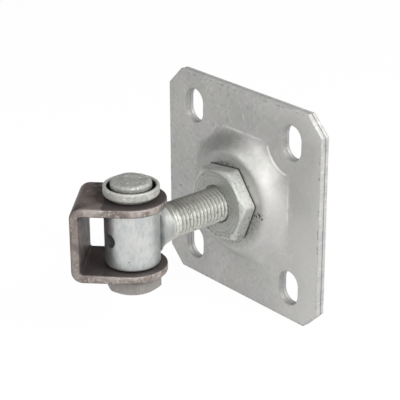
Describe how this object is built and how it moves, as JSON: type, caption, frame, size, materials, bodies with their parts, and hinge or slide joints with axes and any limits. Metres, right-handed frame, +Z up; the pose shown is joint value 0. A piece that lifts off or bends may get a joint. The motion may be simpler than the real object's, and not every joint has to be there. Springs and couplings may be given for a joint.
{
  "type": "adjustable gate hinge",
  "caption": "Adjustable gate hinge: slotted wall plate with a pressed dome and captive nut, threaded eye bolt, and a weld-on U bracket that swings on a riveted pivot pin.",
  "frame": {"origin": "centre of the back plate's back face, on the eye bolt's axis, where the hinge lies on the wall or post", "axes": "+Z up along the pivot pin, +Y into the wall, so the eye bolt points out along -Y, +X to the right seen from in front"},
  "size_m": [0.1, 0.0941, 0.1],
  "materials": {
    "zinc_sheet": "dull zinc on pressed sheet, specks and faint blotches",
    "zinc_nut": "dull zinc on turned and sawn faces",
    "zinc_forging": "light zinc on a forging, with a rolled thread",
    "raw_strip": "bare dark mill scale, lighter sheared edges",
    "zinc_pin": "dull zinc, hammered riveted end",
    "zinc_washer": "dull zinc on pressed sheet"
  },
  "bodies": {
    "wall_plate": {"front_plate": "zinc_sheet", "back_plate": "zinc_sheet"},
    "nut": {"adjusting_nut": "zinc_nut", "thrust_washer": "zinc_nut"},
    "eye": {"eye_bolt": "zinc_forging"},
    "bracket": {"hinge_bracket": "raw_strip"},
    "pin": {"pivot_pin": "zinc_pin", "retaining_washer": "zinc_washer"}
  },
  "joints": [
    {"name": "nut_turn", "type": "hinge", "parent": "wall_plate", "child": "nut", "pos_m": [0, 0, 0], "axis": [0, 1, 0], "range_deg": [-2880, 1440]},
    {"name": "eye_slide", "type": "slide", "parent": "wall_plate", "child": "eye", "axis": [0, -1, 0], "range_m": [-0.016, 0.008]},
    {"name": "bracket_swing", "type": "hinge", "parent": "eye", "child": "bracket", "pos_m": [0, -0.0665, 0], "axis": [0, 0, 1], "range_deg": [-75, 165]},
    {"name": "pin_turn", "type": "hinge", "parent": "bracket", "child": "pin", "pos_m": [0, -0.0665, 0], "axis": [0, 0, 1], "continuous": true}
  ],
  "couplings": [
    {"joint": "nut_turn", "follows": "eye_slide", "rad_per_m": 3141.6}
  ]
}
